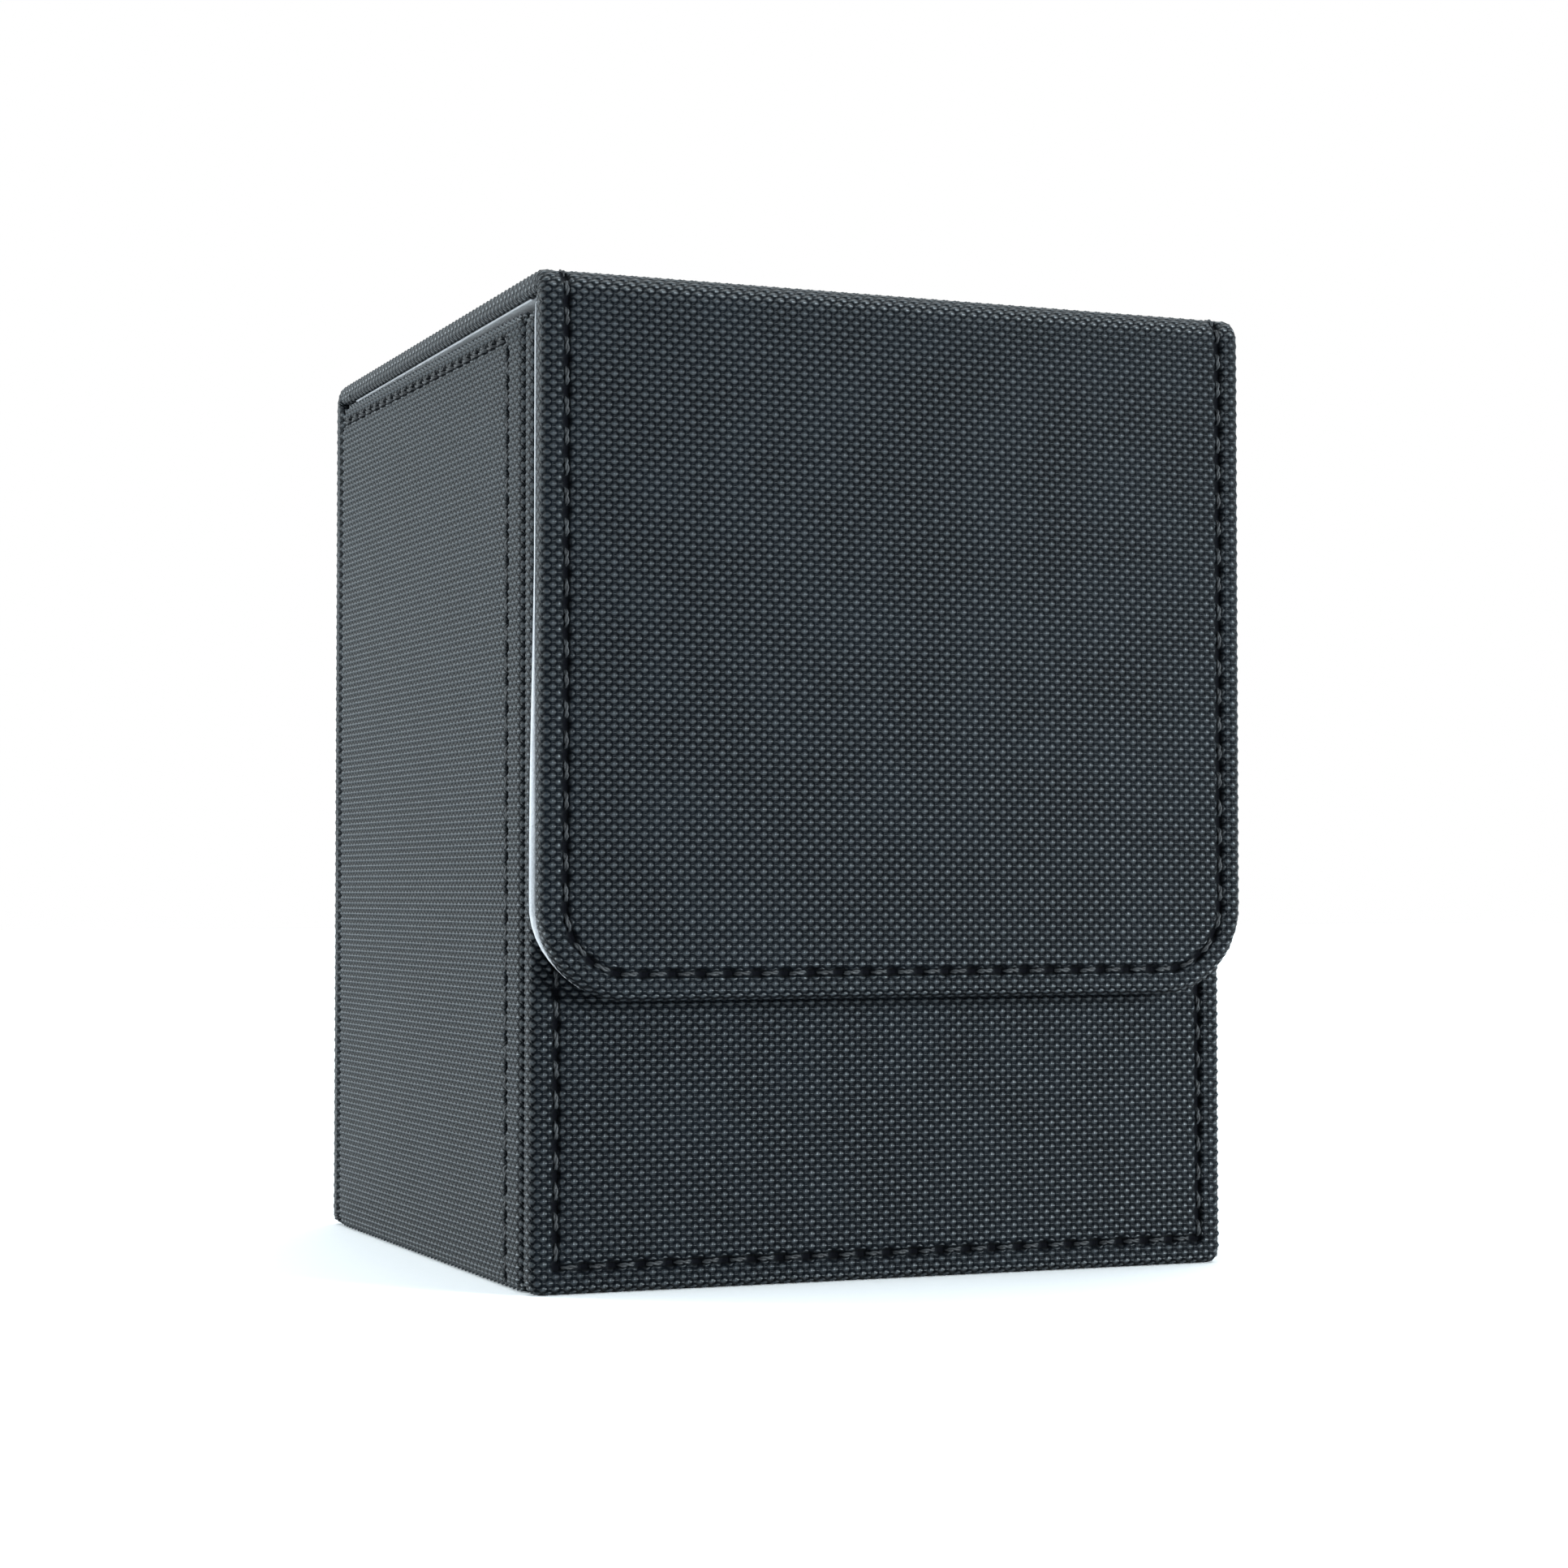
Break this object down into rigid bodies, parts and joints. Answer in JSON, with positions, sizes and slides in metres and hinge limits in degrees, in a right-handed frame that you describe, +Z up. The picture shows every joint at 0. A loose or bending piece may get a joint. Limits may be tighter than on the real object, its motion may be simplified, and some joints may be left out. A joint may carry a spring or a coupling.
{
  "type": "card deck box",
  "caption": "Upright flip-top box for sleeved cards: stitched leatherette walls, hinged lid and a magnetic front flap.",
  "frame": {"origin": "middle of the box's footprint, flap included, on the surface it stands on", "axes": "+Z up from the floor to the lid, +Y to the back wall that carries the lid's fold, -Y to the front flap, +X to the right seen from the front"},
  "size_m": [0.0804, 0.0816, 0.1035],
  "materials": {
    "leatherette": "charcoal leatherette with an embossed diamond weave",
    "suede": "light grey brushed suede",
    "greyboard": "uncoated grey bookbinding board",
    "magnet": "nickel-plated disc",
    "thread": "black bonded polyester thread"
  },
  "bodies": {
    "box": {"front_cover": "leatherette", "front_board": "greyboard", "front_lining": "suede", "front_stitching": "thread", "back_cover": "leatherette", "back_board": "greyboard", "back_lining": "suede", "back_stitching": "thread", "left_cover": "leatherette", "left_board": "greyboard", "left_lining": "suede", "left_stitching": "thread", "right_cover": "leatherette", "right_board": "greyboard", "right_lining": "suede", "right_stitching": "thread", "bottom_cover": "leatherette", "bottom_board": "greyboard", "bottom_lining": "suede", "front_magnets": "magnet", "lid_hinge_cover": "leatherette", "lid_hinge_lining": "suede", "lid_hinge_stitching": "thread"},
    "lid": {"lid_cover": "leatherette", "lid_board": "greyboard", "lid_lining": "suede", "lid_stitching": "thread", "flap_hinge_cover": "leatherette", "flap_hinge_lining": "suede", "flap_hinge_stitching": "thread"},
    "flap": {"flap_cover": "leatherette", "flap_board": "greyboard", "flap_lining": "suede", "flap_magnets": "magnet", "flap_stitching": "thread"}
  },
  "joints": [
    {"name": "lid_hinge", "type": "hinge", "parent": "box", "child": "lid", "pos_m": [0, 0.04041, 0.10231], "axis": [-1, 0, 0], "range_deg": [0, 235], "deforming": ["lid_hinge_cover", "lid_hinge_lining", "lid_hinge_stitching"]},
    {"name": "flap_hinge", "type": "hinge", "parent": "lid", "child": "flap", "pos_m": [0, -0.04041, 0.10311], "axis": [-1, 0, 0], "range_deg": [0, 135], "deforming": ["flap_hinge_cover", "flap_hinge_lining", "flap_hinge_stitching"]}
  ]
}
